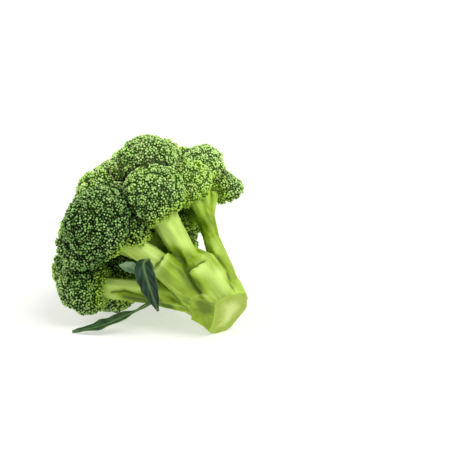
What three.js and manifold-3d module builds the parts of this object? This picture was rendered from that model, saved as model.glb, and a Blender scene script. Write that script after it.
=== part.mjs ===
// A fresh broccoli head, cut from its plant and lying on its side: one branching stalk, the florets that
// it carries and three small leaves. Millimetres, +Z up, origin on the surface below the middle of the head.
//
// The head is drawn as it grew, in its own frame: the stem's cut end at the origin, the stalk up +Z, and
// every place given as [azimuth in degrees round the stalk, reach out from it, height above the cut].
// Azimuth 0 is the side that faces up once the head lies down.

import * as THREE from "three";
import { mergeVertices } from "three/addons/utils/BufferGeometryUtils.js";
import Module from "manifold-3d";

// ---------------------------------------------------------------- driving dimensions

const AXIS_RISE = 30; // how far the lying stalk's axis rises from the surface, degrees
const HEADING = 44; // how far that axis swings from -X towards +Y, degrees
const LIE = 16.4; // height of the cut end's middle above the surface, with its low points pressed flat
const GAP = 0.3; // clearance between neighbouring pieces

const BUD_ROWS = [[24, 4], [15.8, 3], [0, 2]]; // for domes above each radius, the buds' fineness
const CROWDING = 0.3; // how far a dome's buds crowd from its underside to its top
const BUD_HIGH = 1.8; // a bud's top above the gaps round it
const KNOB_RISE = 1.8; // the knobs that a dome's buds gather in
const UNDERSIDE = 0.8; // depth of a dome below its middle, as a share of its radius
const SUNK = 4; // how deep a branch runs on into its dome

// The trunk's rings: height, its middle's offsets along azimuths 0 and 90, and its half-widths there.
const TRUNK = [
  [-6, -2.5, 5, 17, 16],
  [4, -1.5, 4.5, 18, 17],
  [18, 2, 2, 21, 19],
  [34, 3, 0, 22, 20],
  [48, 2, 0, 17, 17],
  [64, 1, 0, 10, 10],
];
const TRUNK_SIDES = 13;
const CUT_TILT = 4; // the stem is cut a little askew, degrees
const CUT_FACING = -70; // the azimuth that the cut leans towards

// The way that the branches of the three florets on the right share before they fork.
const FORK = [[48, 8, 2], [50, 19, 23], [50, 26.5, 42], [50, 35, 61]];

// Each floret: its domes as [azimuth, reach, height, radius], and the branch that carries it. A branch
// leaves `from`, a place in the trunk, and bows outwards by `bow`, or grows `along` given places. It ends
// in the first dome, and its `radii` run evenly from its root to there.
const FLORETS = {
  floret_front: {
    domes: [[-71, 48.5, 90, 26], [-97, 49, 95, 19], [-59, 38, 72, 13]],
    branch: { from: [-76, 4, 29], radii: [11.5, 8, 7.5], bow: 0 },
  },
  floret_front_low: {
    domes: [[-130, 57, 85, 21], [-134, 56, 104, 15]],
    branch: { from: [-130, 6, 22], radii: [11.5, 8.5, 7.5], bow: -0.5 },
  },
  floret_front_left: {
    domes: [[-104, 41.5, 109.5, 16]],
    branch: { from: [-92, 6, 52], radii: [6, 5, 4.5], bow: 0 },
  },
  floret_top: {
    domes: [[-22, 44, 82, 22.5], [-5, 47, 107, 20]],
    branch: { from: [-10, 4, 27], radii: [11, 8.5, 9.5], bow: 0 },
  },
  floret_top_left: {
    domes: [[-58, 30.5, 118, 18], [-44, 33, 100, 14]],
    branch: { from: [-50, 4, 58], radii: [6.5, 5, 5], bow: 1 },
  },
  floret_top_front: {
    domes: [[-13, 38, 117, 16]],
    branch: { from: [-24, 4, 60], radii: [5.5, 4.5, 4.5], bow: 2 },
  },
  floret_right: {
    domes: [[29, 45, 88, 18], [23, 44.5, 114, 15.8]],
    branch: { along: FORK, radii: [11, 8.2, 6, 5.2, 4.5] },
  },
  floret_right_back: {
    domes: [[52, 62.5, 101.5, 17.5], [53, 55.5, 117, 11]],
    branch: { along: FORK, radii: [11, 8.2, 6, 5.2, 4.5] },
  },
  floret_right_low: {
    domes: [[62, 64, 90, 14.5], [60, 68, 80, 11]],
    branch: { along: FORK, radii: [11, 8, 5.8, 4.8, 4] },
  },
  floret_back_right: {
    domes: [[90, 49, 95, 15.8], [103, 44, 114, 15.8]],
    branch: { along: FORK, radii: [11, 8, 5.8, 4.8, 4.5] },
  },
  floret_back: {
    domes: [[121, 54, 93, 18]],
    branch: { from: [118, 5, 26], radii: [9, 6.5, 6], bow: 3 },
  },
  floret_back_low: {
    domes: [[150, 58, 92, 21.5]],
    branch: { from: [150, 6, 24], radii: [10, 7.5, 7], bow: 1 },
  },
  floret_under: {
    domes: [[-165, 48, 87, 21.5]],
    branch: { from: [-168, 7, 24], radii: [9, 6.5, 6], bow: 0 },
  },
  floret_under_top: {
    domes: [[167, 45, 113, 17]],
    branch: { from: [170, 4, 52], radii: [6, 5, 5], bow: 1 },
  },
  floret_crown_front: {
    domes: [[-88, 15, 129, 16]],
    branch: { from: [-80, 3, 60], radii: [5.5, 4.5, 4.5], bow: 0 },
  },
  floret_crown_top: {
    domes: [[9, 10, 130, 18], [171, 13, 132, 17]],
    branch: { from: [0, 2, 58], radii: [7, 6, 6], bow: 0 },
  },
  floret_crown_right: {
    domes: [[70, 26, 129, 18]],
    branch: { from: [70, 3, 58], radii: [6, 5, 5], bow: 1 },
  },
  floret_crown_back: {
    domes: [[140, 29, 129, 18]],
    branch: { from: [140, 3, 58], radii: [6, 5, 5], bow: 1 },
  },
  floret_crown_under: {
    domes: [[-150, 29.5, 126, 18]],
    branch: { from: [-148, 3, 58], radii: [6, 5, 5], bow: 1 },
  },
};

// Stubs of leaf stalks that broke off: collars of a branch's root that end in a step, by their two ends'
// places and radii.
const COLLARS = [
  { from: [-20, 5, 0], to: [-25, 17, 31], radii: [13, 11.5] },
  { from: [-72, 4, 10], to: [-66, 25, 49], radii: [13, 9] },
  { from: [-108, 3, -8], to: [-112, 11, 16], radii: [13, 11] },
  { from: [52, 7.6, -8], to: [48, 14, 14], radii: [10.6, 11] },
  { from: [170, 2, 2], to: [172, 14, 28], radii: [12, 10] },
  { from: [104, 6, 4], to: [108, 19, 33], radii: [12, 10] },
];

// The hollow where a large leaf was sliced off beside the cut end: its side of the trunk, how far from the
// axis its deepest line starts, how that line leans away from the axis, and its round.
const SCOOP = { azimuth: -103, reach: 8, lean: 26, radius: 60 };
const SCOOP_SIDES = 40;

// The flat on the trunk's far side at the cut end.
const FLAT = { azimuth: 114, reach: 19.6, lean: 9 };

// Leaves, by places in the lying head's frame before it is centred: the path of the midrib from its root
// to its tip, the way that the blade faces, its greatest width, where along the path its bare stalk ends
// and that width is, its fold along the midrib, its wave, and how finely it is drawn.
const LEAVES = {
  leaf_front: {
    path: [[-51, 13, 52.5], [-53.4, 1, 52.3], [-52, -5, 46.5], [-49, -8, 38], [-43.8, -10, 22.5]],
    facing: [-0.25, -1, 0.35],
    width: 14, stalk: 0.12, widest: 0.52, fold: 0.3, wave: 0.5, steps: 13, across: 4,
  },
  leaf_low: {
    path: [[-44, 17, 22], [-53, 13.5, 18.5], [-64.5, 10.5, 13.2], [-82, 9, 6.2], [-100.5, 9, 2.6]],
    facing: [0.1, -0.2, 1],
    width: 12, stalk: 0.2, widest: 0.6, fold: 0.25, wave: 0.5, steps: 12, across: 4,
  },
  leaf_inner: {
    path: [[-49, 17, 30], [-54.5, 18.5, 37], [-61.5, 20, 41], [-70.3, 21.5, 42.3]],
    facing: [0, -1, 0.4],
    width: 7.5, stalk: 0.3, widest: 0.7, fold: 0.25, wave: 0.3, steps: 7, across: 4,
  },
};
const LEAF_THICK = 0.8; // the blade
const LEAF_RIB = 1.3; // what the midrib adds to that
const LEAF_RIB_WIDE = 1.1; // the midrib's half-width

// ---------------------------------------------------------------- helpers

const wasm = await Module();
wasm.setup();

const rad = THREE.MathUtils.degToRad;
const axisZ = new THREE.Vector3(0, 0, 1);

/** The point at an azimuth, reach and height round the stalk. */
function place([azimuth, reach, height]) {
  return new THREE.Vector3(reach * Math.cos(rad(azimuth)), reach * Math.sin(rad(azimuth)), height);
}

/** A repeatable stream of numbers from 0 to 1 for each seed. */
function seeded(seed) {
  let state = (seed * 2654435761 + 12345) >>> 0;
  return () => {
    state = (Math.imul(state, 1664525) + 1013904223) >>> 0;
    return state / 2 ** 32;
  };
}

/** A manifold-3d solid from its points and triangles. */
function solidOf(points, triangles) {
  return new wasm.Manifold(
    new wasm.Mesh({
      numProp: 3,
      vertProperties: new Float32Array(points),
      triVerts: new Uint32Array(triangles),
    }),
  );
}

/** A closed BufferGeometry as a manifold-3d solid. */
function toSolid(geometry) {
  const bare = geometry.clone();
  bare.deleteAttribute("normal");
  bare.deleteAttribute("uv");
  const merged = mergeVertices(bare, 1e-4);
  return solidOf(merged.attributes.position.array, merged.index.array);
}

/** A manifold-3d solid as a flat-shaded BufferGeometry. */
function toGeometry(solid) {
  const mesh = solid.getMesh();
  const geometry = new THREE.BufferGeometry();
  geometry.setAttribute("position", new THREE.BufferAttribute(mesh.vertProperties, 3));
  geometry.setIndex(new THREE.BufferAttribute(mesh.triVerts, 1));
  const flat = geometry.toNonIndexed();
  flat.computeVertexNormals();
  return flat;
}

/** The largest of the bodies that a cut leaves. */
function largest(solid) {
  return solid.decompose().reduce((a, b) => (b.volume() > a.volume() ? b : a));
}

/** The solids joined into one. */
function joined(solids) {
  return solids.reduce((a, b) => a.add(b));
}

/** What is left of a solid behind the plane through `point` that faces along `normal`. */
function trimmed(solid, point, normal) {
  const size = 400;
  const beyond = new THREE.BoxGeometry(size, size, size);
  beyond.translate(0, 0, size / 2);
  beyond.applyQuaternion(new THREE.Quaternion().setFromUnitVectors(axisZ, normal));
  beyond.translate(point.x, point.y, point.z);
  return solid.subtract(toSolid(beyond));
}

/**
 * A round limb through points, its radius running evenly between the given radii. A unit cylinder is bent
 * along the curve, ring by ring, and may be grown by a clearance all over.
 */
function limb(points, radii, { sides = 9, steps = 5, grow = 0 } = {}) {
  const curve = new THREE.CatmullRomCurve3(points, false, "centripetal");
  const frames = curve.computeFrenetFrames(steps, false);
  const tube = new THREE.CylinderGeometry(1, 1, 1, sides, steps);
  const position = tube.attributes.position;
  const spread = grow / Math.cos(Math.PI / sides);
  for (let i = 0; i < position.count; i++) {
    const along = position.getY(i) + 0.5;
    const ring = Math.round(along * steps);
    const at = along * (radii.length - 1);
    const k = Math.min(Math.floor(at), radii.length - 2);
    const radius = THREE.MathUtils.lerp(radii[k], radii[k + 1], at - k) + spread;
    const middle = curve.getPointAt(along);
    if (ring === steps) middle.addScaledVector(frames.tangents[steps], grow);
    middle.addScaledVector(frames.normals[ring], position.getZ(i) * radius);
    middle.addScaledVector(frames.binormals[ring], position.getX(i) * radius);
    position.setXYZ(i, middle.x, middle.y, middle.z);
  }
  return toSolid(tube);
}

// ---------------------------------------------------------------- the pose

/** The rotation that lays the head down, its inverse, and what the head's own frame sees through it. */
const laid = new THREE.Quaternion()
  .setFromAxisAngle(axisZ, rad(-HEADING))
  .multiply(new THREE.Quaternion().setFromAxisAngle(new THREE.Vector3(0, 1, 0), rad(AXIS_RISE - 90)));
const unlaid = laid.clone().invert();
const upwards = axisZ.clone().applyQuaternion(unlaid);
const fromLying = ([x, y, z]) => new THREE.Vector3(x, y, z - LIE).applyQuaternion(unlaid);

/** What is left of a solid above the surface. */
function pressedFlat(solid) {
  return trimmed(solid, fromLying([0, 0, 0]), upwards.clone().negate());
}

// ---------------------------------------------------------------- the stalk

/** The trunk: a faceted column whose rings are the ellipses of TRUNK. */
function trunk() {
  const steps = TRUNK.length - 1;
  const column = new THREE.CylinderGeometry(1, 1, 1, TRUNK_SIDES, steps);
  column.rotateX(Math.PI / 2);
  const position = column.attributes.position;
  for (let i = 0; i < position.count; i++) {
    const [height, x, y, wide, deep] = TRUNK[Math.round((position.getZ(i) + 0.5) * steps)];
    position.setXYZ(i, x + position.getX(i) * wide, y + position.getY(i) * deep, height);
  }
  return toSolid(column);
}

/** The round bar that hollows the trunk where the large leaf was. */
function scoop() {
  const bar = new THREE.CylinderGeometry(SCOOP.radius, SCOOP.radius, 160, SCOOP_SIDES);
  bar.rotateX(Math.PI / 2);
  bar.rotateY(rad(SCOOP.lean));
  bar.translate(SCOOP.reach + SCOOP.radius / Math.cos(rad(SCOOP.lean)), 0, 0);
  bar.rotateZ(rad(SCOOP.azimuth));
  return toSolid(bar);
}

/** The places that a floret's branch grows through, and the way that it enters the floret. */
function growth({ domes: [[azimuth, reach, height, radius]], branch }) {
  const target = place([azimuth, reach, height]);
  const places = (branch.along ?? [branch.from]).map(place);
  const way = target.clone().sub(places.at(-1)).normalize();
  const entry = target.clone().addScaledVector(way, SUNK - radius * UNDERSIDE);
  if (!branch.along) {
    const middle = places[0].clone().lerp(entry, 0.5);
    places.push(middle.addScaledVector(new THREE.Vector3(middle.x, middle.y, 0).normalize(), branch.bow));
  }
  return { places: [...places, entry], way };
}

/** A floret's branch, from its root inside the trunk to its end inside the floret. */
function branchOf(floret, grow) {
  const { radii } = floret.branch;
  const stout = radii[0] > 7;
  return limb(growth(floret).places, radii, { sides: stout ? 8 : 6, steps: stout ? 4 : 2, grow });
}

/**
 * The whole stalk: trunk, branches and the collars of broken leaf stalks, cut off below. The hollow and the
 * flat at the cut end stay within the trunk and its collars.
 */
function stalk(grow = 0) {
  const branches = Object.values(FLORETS).map((floret) => branchOf(floret, grow));
  const collars = COLLARS.map(({ from, to, radii }) =>
    limb([place(from), place(to)], radii, { steps: 1, grow }),
  );
  const lean = new THREE.Vector3(Math.cos(rad(CUT_FACING)), Math.sin(rad(CUT_FACING)), 0);
  const cutFacing = lean.multiplyScalar(Math.tan(rad(CUT_TILT))).setZ(-1).normalize();
  const flatFacing = new THREE.Vector3(Math.cos(rad(FLAT.lean)), 0, -Math.sin(rad(FLAT.lean)));
  flatFacing.applyAxisAngle(axisZ, rad(FLAT.azimuth));
  const foot = trimmed(joined([trunk(), ...collars]), place([FLAT.azimuth, FLAT.reach, 0]), flatFacing);
  return trimmed(joined([foot.subtract(scoop()), ...branches]), new THREE.Vector3(), cutFacing);
}

// ---------------------------------------------------------------- the florets

/**
 * Directions over a sphere with buds at some of them: every bud is ringed by gaps, so each triangle runs
 * from one bud's top down to two gaps.
 */
function budDirections(rows) {
  const sphere = new THREE.IcosahedronGeometry(1, rows - 1);
  sphere.deleteAttribute("normal");
  sphere.deleteAttribute("uv");
  const merged = mergeVertices(sphere, 1e-4);
  const tops = Array.from({ length: merged.attributes.position.count }, (_, i) =>
    new THREE.Vector3().fromBufferAttribute(merged.attributes.position, i),
  );
  const directions = [...tops];
  const beside = new Map();
  const corners = merged.index.array;
  for (let i = 0; i < corners.length; i += 3) {
    const face = [corners[i], corners[i + 1], corners[i + 2]];
    const gap = directions.length;
    directions.push(face.reduce((sum, c) => sum.add(tops[c]), new THREE.Vector3()).normalize());
    face.forEach((a, k) => beside.set(`${a},${face[(k + 1) % 3]}`, gap));
  }
  const triangles = [];
  for (const [edge, gap] of beside) {
    const [a, b] = edge.split(",").map(Number);
    triangles.push(a, beside.get(`${b},${a}`), gap);
  }
  return { directions, triangles, budCount: tops.length };
}

/** One dome of buds, held back at each plane that parts it from a neighbour. */
function dome({ middle, radius, way, seed, planes }) {
  const [, rows] = BUD_ROWS.find(([above]) => radius > above);
  const { directions, triangles, budCount } = budDirections(rows);
  const random = seeded(seed);
  const anyWay = () => new THREE.Vector3(random() - 0.5, random() - 0.5, random() - 0.5);
  const knobs = Array.from({ length: 9 }, () => anyWay().normalize());
  const turn = new THREE.Quaternion().setFromUnitVectors(axisZ, anyWay().normalize());
  const points = directions.flatMap((direction, i) => {
    const isBud = i < budCount;
    const u = direction.clone().applyQuaternion(turn);
    if (isBud) u.addScaledVector(anyWay(), 0.3 / rows);
    u.addScaledVector(way, CROWDING).normalize();
    const nearest = Math.max(...knobs.map((knob) => knob.dot(u)));
    const knob = KNOB_RISE * THREE.MathUtils.smoothstep(nearest, 0.72, 1);
    const bud = isBud ? BUD_HIGH * (0.9 + 0.2 * random()) : 0;
    const free = radius - BUD_HIGH - KNOB_RISE / 2 + knob + bud;
    const held = planes.map(({ normal, offset }) => (normal.dot(u) > 0 ? offset / normal.dot(u) : free));
    return u.multiplyScalar(Math.min(free, ...held)).add(middle).toArray();
  });
  return solidOf(points, triangles);
}

/** All domes of all florets, each with the planes that part it from its neighbours. */
function allDomes() {
  const domes = Object.entries(FLORETS).flatMap(([name, floret]) =>
    floret.domes.map((d) => ({ name, middle: place(d), radius: d[3], way: growth(floret).way })),
  );
  const proud = 2 * KNOB_RISE;
  domes.forEach((one, i) => {
    const below = one.way.clone().negate();
    one.seed = i + 1;
    one.planes = [{ normal: below, offset: one.radius * UNDERSIDE }];
    for (const other of domes) {
      const apart = other.middle.distanceTo(one.middle);
      if (other.name === one.name || apart > one.radius + other.radius + proud) continue;
      const normal = other.middle.clone().sub(one.middle).normalize();
      const share = (apart ** 2 + one.radius ** 2 - other.radius ** 2) / (2 * apart);
      one.planes.push({ normal, offset: share - GAP / 2 });
    }
  });
  return domes;
}

// ---------------------------------------------------------------- the leaves

/** How far a leaf's edge is from its midrib, at a share `along` of its length. */
function halfWidth({ width, stalk: bare, widest }, along) {
  const blade = Math.max(0, (along - bare) / (1 - bare));
  const bend = Math.log(0.5) / Math.log((widest - bare) / (1 - bare));
  const swell = Math.max(0, Math.sin(Math.PI * blade ** bend)) ** 0.8;
  const scallops = 1 + 0.06 * Math.sin(along * 40);
  return Math.max(1.3 - 0.5 * along, (width / 2) * swell * scallops);
}

/**
 * A leaf as one closed blade, thicker along its midrib: a grid on each face, split into triangles alike,
 * and a rim that joins them.
 */
function leaf(shape) {
  const { path, fold, wave, steps, across: columns } = shape;
  const curve = new THREE.CatmullRomCurve3(path.map(fromLying));
  const facing = new THREE.Vector3(...shape.facing).applyQuaternion(unlaid);
  const points = [];
  const at = (face, i, j) => (face * (steps + 1) + i) * (columns + 1) + j;
  for (const face of [0, 1]) {
    for (let i = 0; i <= steps; i++) {
      const along = i / steps;
      const half = halfWidth(shape, along);
      const middle = curve.getPointAt(along);
      const tangent = curve.getTangentAt(along);
      const across = new THREE.Vector3().crossVectors(facing, tangent).normalize();
      const normal = new THREE.Vector3().crossVectors(tangent, across).normalize();
      for (let j = 0; j <= columns; j++) {
        const side = (2 * j) / columns - 1;
        const offset = side * half;
        const rib = LEAF_RIB * Math.exp(-((offset / LEAF_RIB_WIDE) ** 2)) * (1 - 0.6 * along);
        const lift = fold * Math.abs(offset) + wave * side * side * Math.sin(along * 23 + side * 1.5);
        const thick = face ? -LEAF_THICK / 2 - rib : LEAF_THICK / 2;
        points.push(middle.clone().addScaledVector(across, offset).addScaledVector(normal, lift + thick));
      }
    }
  }
  const triangles = [];
  const quad = (a, b, c, d) => triangles.push(a, b, c, a, c, d);
  for (let i = 0; i < steps; i++) {
    for (let j = 0; j < columns; j++) {
      quad(at(0, i, j), at(0, i + 1, j), at(0, i + 1, j + 1), at(0, i, j + 1));
      triangles.push(at(1, i, j), at(1, i + 1, j + 1), at(1, i + 1, j));
      triangles.push(at(1, i, j), at(1, i, j + 1), at(1, i + 1, j + 1));
    }
  }
  const rim = [];
  for (let i = 0; i < steps; i++) rim.push([i, 0]);
  for (let j = 0; j < columns; j++) rim.push([steps, j]);
  for (let i = steps; i > 0; i--) rim.push([i, columns]);
  for (let j = columns; j > 0; j--) rim.push([0, j]);
  rim.forEach((p, k) => {
    const q = rim[(k + 1) % rim.length];
    quad(at(0, ...p), at(1, ...p), at(1, ...q), at(0, ...q));
  });
  return solidOf(points.flatMap((p) => p.toArray()), triangles);
}

// ---------------------------------------------------------------- the head

const stalkGreen = new THREE.MeshStandardMaterial({ color: 0xa9c957, roughness: 0.5, metalness: 0 });
const floretGreen = new THREE.MeshStandardMaterial({ color: 0x4f7a33, roughness: 0.8, metalness: 0 });
const leafGreen = new THREE.MeshStandardMaterial({ color: 0x2c4f45, roughness: 0.45, metalness: 0 });

const head = new THREE.Group();
head.quaternion.copy(laid);
head.position.z = LIE;

function addPiece(name, solid, material) {
  const mesh = new THREE.Mesh(toGeometry(largest(pressedFlat(solid))), material);
  mesh.name = name;
  head.add(mesh);
}

addPiece("stalk", stalk(), stalkGreen);

const stalkWithGap = stalk(GAP);
const domes = allDomes();
for (const name of Object.keys(FLORETS)) {
  const own = domes.filter((d) => d.name === name).map(dome);
  addPiece(name, joined(own).subtract(stalkWithGap), floretGreen);
}

for (const [name, shape] of Object.entries(LEAVES)) {
  addPiece(name, leaf(shape).subtract(stalkWithGap), leafGreen);
}

const broccoli = new THREE.Group();
broccoli.add(head);
const centre = new THREE.Box3().setFromObject(broccoli, true).getCenter(new THREE.Vector3());
head.position.x -= centre.x;
head.position.y -= centre.y;

export default broccoli;
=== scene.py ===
"""A head of broccoli that lies on its side: florets of tight buds, a stalk and small leaves."""

import heapq
import logging
import math
from dataclasses import dataclass, field
from enum import Enum

import bmesh
import bpy
import numpy as np
from mathutils import Matrix, Vector
from mathutils.bvhtree import BVHTree
from mathutils.kdtree import KDTree


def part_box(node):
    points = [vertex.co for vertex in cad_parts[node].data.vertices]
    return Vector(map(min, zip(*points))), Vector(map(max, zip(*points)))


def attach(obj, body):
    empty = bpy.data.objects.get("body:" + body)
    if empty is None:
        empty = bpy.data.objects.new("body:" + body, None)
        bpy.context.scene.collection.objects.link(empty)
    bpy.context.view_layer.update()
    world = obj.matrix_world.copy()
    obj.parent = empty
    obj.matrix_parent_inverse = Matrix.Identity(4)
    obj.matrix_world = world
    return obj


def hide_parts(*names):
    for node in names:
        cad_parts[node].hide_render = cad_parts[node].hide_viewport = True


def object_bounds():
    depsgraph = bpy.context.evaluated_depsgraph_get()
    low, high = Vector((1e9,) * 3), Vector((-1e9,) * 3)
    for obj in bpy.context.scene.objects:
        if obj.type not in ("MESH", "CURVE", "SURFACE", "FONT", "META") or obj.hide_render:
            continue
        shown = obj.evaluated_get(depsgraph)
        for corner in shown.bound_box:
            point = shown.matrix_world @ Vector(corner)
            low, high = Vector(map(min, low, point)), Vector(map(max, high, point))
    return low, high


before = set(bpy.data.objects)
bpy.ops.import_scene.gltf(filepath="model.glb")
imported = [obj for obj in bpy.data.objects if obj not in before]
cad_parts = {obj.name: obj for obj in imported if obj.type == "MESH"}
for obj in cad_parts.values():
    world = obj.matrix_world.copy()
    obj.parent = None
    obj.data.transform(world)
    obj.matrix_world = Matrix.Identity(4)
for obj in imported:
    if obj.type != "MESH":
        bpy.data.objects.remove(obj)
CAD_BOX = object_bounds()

log = logging.getLogger("broccoli")

MM = 0.001
BODY = "root"
STALK_NODE = "stalk"

Array = np.ndarray
Random = np.random.Generator
Mesh = bpy.types.Mesh
Object = bpy.types.Object
Material = bpy.types.Material
Socket = bpy.types.NodeSocket
Colour = tuple[float, float, float]
Point = tuple[float, float, float]
Stops = list[tuple[float, Colour]]
Marks = dict[str, Array]


# ---- numbers and meshes

# How far smoothing pulls each point to its neighbours' mean, and then pushes it back out.
PULL, PUSH = 0.5, -0.52


def srgb(red: int, green: int, blue: int) -> Colour:
    """The colour that a screen shows as these three values from 0 to 255, for a shader."""
    return tuple(((v / 255 + 0.055) / 1.055) ** 2.4 if v > 10 else v / 3295 for v in (red, green, blue))


def unit(vectors: Array) -> Array:
    """The vectors, each at length 1."""
    return vectors / np.maximum(np.linalg.norm(vectors, axis=1, keepdims=True), 1e-12)


def smoothstep(low: float, high: float, values: Array) -> Array:
    """0 below `low`, 1 above `high` and a smooth rise between them; the limits may be swapped."""
    share = np.clip((values - low) / (high - low), 0, 1)
    return share * share * (3 - 2 * share)


@dataclass
class Surface:
    """A mesh as arrays: the points, and its faces as rows of point numbers, three or four to a row."""

    points: Array
    faces: Array

    @staticmethod
    def of(mesh: Mesh) -> "Surface":
        """The triangles of a Blender mesh.

        Args:
            mesh: the mesh to read.

        Returns:
            Its points and its triangles.
        """
        mesh.calc_loop_triangles()
        faces = np.empty(len(mesh.loop_triangles) * 3, np.int32)
        mesh.loop_triangles.foreach_get("vertices", faces)
        return Surface(coordinates(mesh), faces.reshape(-1, 3))

    def triangles(self) -> Array:
        """The faces, with each one of four corners cut in two.

        Returns:
            The triangles, as rows of three point numbers.
        """
        if self.faces.shape[1] == 3:
            return self.faces
        return np.concatenate([self.faces[:, [0, 1, 2]], self.faces[:, [0, 2, 3]]])

    def normals(self) -> Array:
        """The outward direction at each point.

        Returns:
            A row of length 1 for each.
        """
        corners = self.triangles()
        a, b, c = (self.points[corners[:, k]] for k in range(3))
        facing = np.cross(b - a, c - a)
        total = np.zeros_like(self.points)
        for k in range(3):
            for axis in range(3):
                total[:, axis] += np.bincount(corners[:, k], facing[:, axis], len(self.points))
        return unit(total)

    def sides(self) -> tuple[Array, Array]:
        """Every edge, once each way.

        Returns:
            The point numbers of their starts, and those of their ends.
        """
        turned = np.roll(self.faces, -1, axis=1)
        pairs = np.stack([self.faces.ravel(), turned.ravel()], axis=1)
        pairs = np.unique(np.sort(pairs, axis=1), axis=0)
        return np.concatenate([pairs[:, 0], pairs[:, 1]]), np.concatenate([pairs[:, 1], pairs[:, 0]])

    def spread(self, values: Array, rounds: int, share: float = 0.5) -> Array:
        """Values at the points, evened out among neighbours.

        Args:
            values: one number, or one row, for each point.
            rounds: how many times each point moves towards the mean of its neighbours.
            share: how far it moves each time; below 0, it moves away.

        Returns:
            The evened values.
        """
        start, end = self.sides()
        count = np.maximum(np.bincount(start, minlength=len(self.points)), 1)
        rows = values.reshape(len(self.points), -1).astype(float)
        for _ in range(rounds):
            for column in range(rows.shape[1]):
                mean = np.bincount(start, rows[end, column], len(rows)) / count
                rows[:, column] += share * (mean - rows[:, column])
        return rows.reshape(values.shape)

    def evened(self, rounds: int) -> "Surface":
        """This surface with its facets and steps smoothed away, and its volume kept.

        Args:
            rounds: how many times each point is pulled in and pushed out again.

        Returns:
            The smooth surface.
        """
        points = self.points
        for _ in range(rounds):
            for share in (PULL, PUSH):
                points = self.spread(points, 1, share)
        return Surface(points, self.faces)

    def bend(self, size: float) -> Array:
        """How hollow each place is, below 0 where it bulges, for faces of a size."""
        return ((self.spread(self.points, 1, 1.0) - self.points) * self.normals()).sum(1) / size

    def tree(self) -> BVHTree:
        """A search tree of the triangles."""
        return BVHTree.FromPolygons(self.points.tolist(), self.triangles().tolist())


def coordinates(mesh: Mesh) -> Array:
    """The points of a mesh, a row for each.

    Args:
        mesh: the mesh to read.

    Returns:
        The rows.
    """
    points = np.empty(len(mesh.vertices) * 3)
    mesh.vertices.foreach_get("co", points)
    return points.reshape(-1, 3)


def linked(name: str, data: bpy.types.ID) -> Object:
    """Puts a mesh, a light or a camera in the scene.

    Args:
        name: the name of its object.
        data: what the object holds.

    Returns:
        The object.
    """
    made = bpy.data.objects.new(name, data)
    bpy.context.scene.collection.objects.link(made)
    return made


def remeshed(mesh: Mesh, voxel: float) -> Surface:
    """A solid's skin as an even net of four-cornered faces.

    Args:
        mesh: a closed mesh.
        voxel: the size of the new faces, in metres.

    Returns:
        The new skin.
    """
    spare = mesh.copy()
    holder = linked("remesh", spare)
    modifier = holder.modifiers.new("remesh", "REMESH")
    modifier.mode = "VOXEL"
    modifier.voxel_size = voxel
    evaluated = holder.evaluated_get(bpy.context.evaluated_depsgraph_get())
    made = bpy.data.meshes.new_from_object(evaluated)
    faces = [tuple(face.vertices) for face in made.polygons if len(face.vertices) == 4]
    skin = Surface(coordinates(made), np.array(faces, np.int32))
    bpy.data.objects.remove(holder)
    for used in (spare, made):
        bpy.data.meshes.remove(used)
    return skin


def new_object(name: str, parts: list[Surface], marks: Marks, finishes: list[Material]) -> Object:
    """A smooth-shaded object from one or more surfaces, each with a material of its own.

    Args:
        name: the object's name.
        parts: the surfaces that are joined in it.
        marks: numbers that the materials read, one for each point of all parts in order.
        finishes: one material for each part.

    Returns:
        The new object, in the scene.
    """
    low, high = (np.array(corner) for corner in CAD_BOX)
    points = np.clip(np.concatenate([part.points for part in parts]), low, high)
    starts = np.cumsum([0] + [len(part.points) for part in parts])
    faces = [face for part, start in zip(parts, starts) for face in (part.faces + start).tolist()]
    slots = np.repeat(np.arange(len(parts), dtype=np.int32), [len(part.faces) for part in parts])
    mesh = bpy.data.meshes.new(name)
    mesh.from_pydata(points.tolist(), [], faces)
    mesh.polygons.foreach_set("material_index", slots)
    mesh.shade_smooth()
    mesh.validate()
    for label, values in marks.items():
        attribute = mesh.attributes.new(label, "FLOAT", "POINT")
        attribute.data.foreach_set("value", values.astype(np.float32))
    for finish in finishes:
        mesh.materials.append(finish)
    return linked(name, mesh)


def dress(piece: Object, node: str) -> None:
    """Has a piece stand for a solid: it rides on the part's body, and the solid is hidden.

    Args:
        piece: the piece.
        node: the solid that it replaces.
    """
    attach(piece, BODY)
    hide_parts(node)
    log.info("%s: %d faces", piece.name, len(piece.data.polygons))


def kd_tree(points: Array) -> KDTree:
    """A search tree of points.

    Args:
        points: the points.

    Returns:
        The tree.
    """
    tree = KDTree(len(points))
    for index, point in enumerate(points.tolist()):
        tree.insert(point, index)
    tree.balance()
    return tree


def spaced(points: Array, apart: float) -> Array:
    """Picks points, first come first served, so that no two are closer than a distance.

    Args:
        points: the candidates, in random order.
        apart: the least distance between two that are kept.

    Returns:
        The numbers of those kept.
    """
    tree = kd_tree(points)
    free = np.ones(len(points), bool)
    kept = []
    for index in range(len(points)):
        if not free[index]:
            continue
        kept.append(index)
        for _, near, _ in tree.find_range(points[index], apart):
            free[near] = False
    return np.array(kept, np.int32)


def two_nearest(points: Array, seeds: Array) -> tuple[Array, Array, Array]:
    """Finds the two seeds that each point is nearest to.

    Args:
        points: the points.
        seeds: the seeds.

    Returns:
        For each point, its nearest seed's number, how far that is, and how far the second one is.
    """
    tree = kd_tree(seeds)
    found = [tree.find_n(point, 2) for point in points.tolist()]
    first = np.array([pair[0][1] for pair in found])
    near = np.array([pair[0][2] for pair in found])
    second = np.array([pair[-1][2] for pair in found])
    return first, near, second


# ---- materials


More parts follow.
